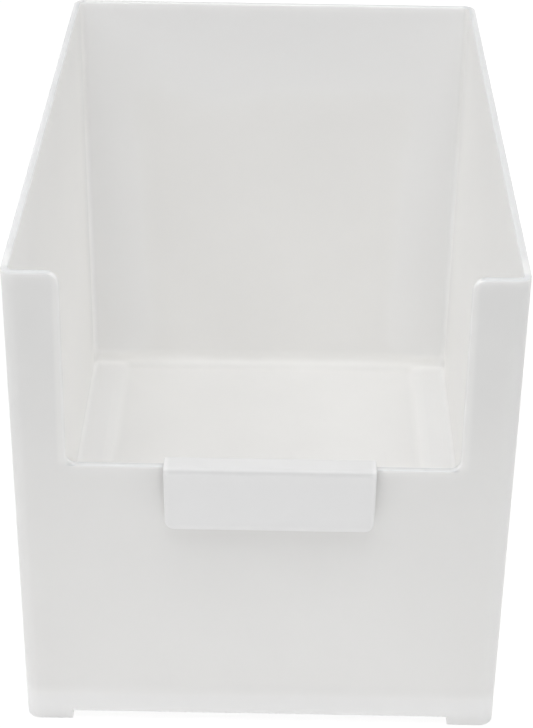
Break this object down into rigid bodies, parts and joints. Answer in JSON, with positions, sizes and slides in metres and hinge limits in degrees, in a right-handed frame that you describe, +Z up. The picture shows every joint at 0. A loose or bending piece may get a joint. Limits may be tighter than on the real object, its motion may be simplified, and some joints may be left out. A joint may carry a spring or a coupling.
{
  "type": "desktop storage bin",
  "caption": "Open moulded plastic storage bin with a low U-shaped front, foot rails hollow from below and a tab that clips over its front lip.",
  "frame": {"origin": "middle of the whole footprint, on the surface that the rails stand on", "axes": "+Z up, -Y out of the low front, +X to the right seen from the front"},
  "size_m": [0.16, 0.267, 0.164],
  "materials": {
    "bin_plastic": "satin white polypropylene, slightly translucent",
    "tab_plastic": "satin milky polypropylene"
  },
  "bodies": {
    "bin": {"bin_body": "bin_plastic"},
    "tab": {"clip_on_tab": "tab_plastic"}
  },
  "joints": [
    {"name": "tab_lift", "type": "slide", "parent": "bin", "child": "tab", "axis": [0, -0.0175, 0.9998], "range_m": [0, 0.03]}
  ]
}
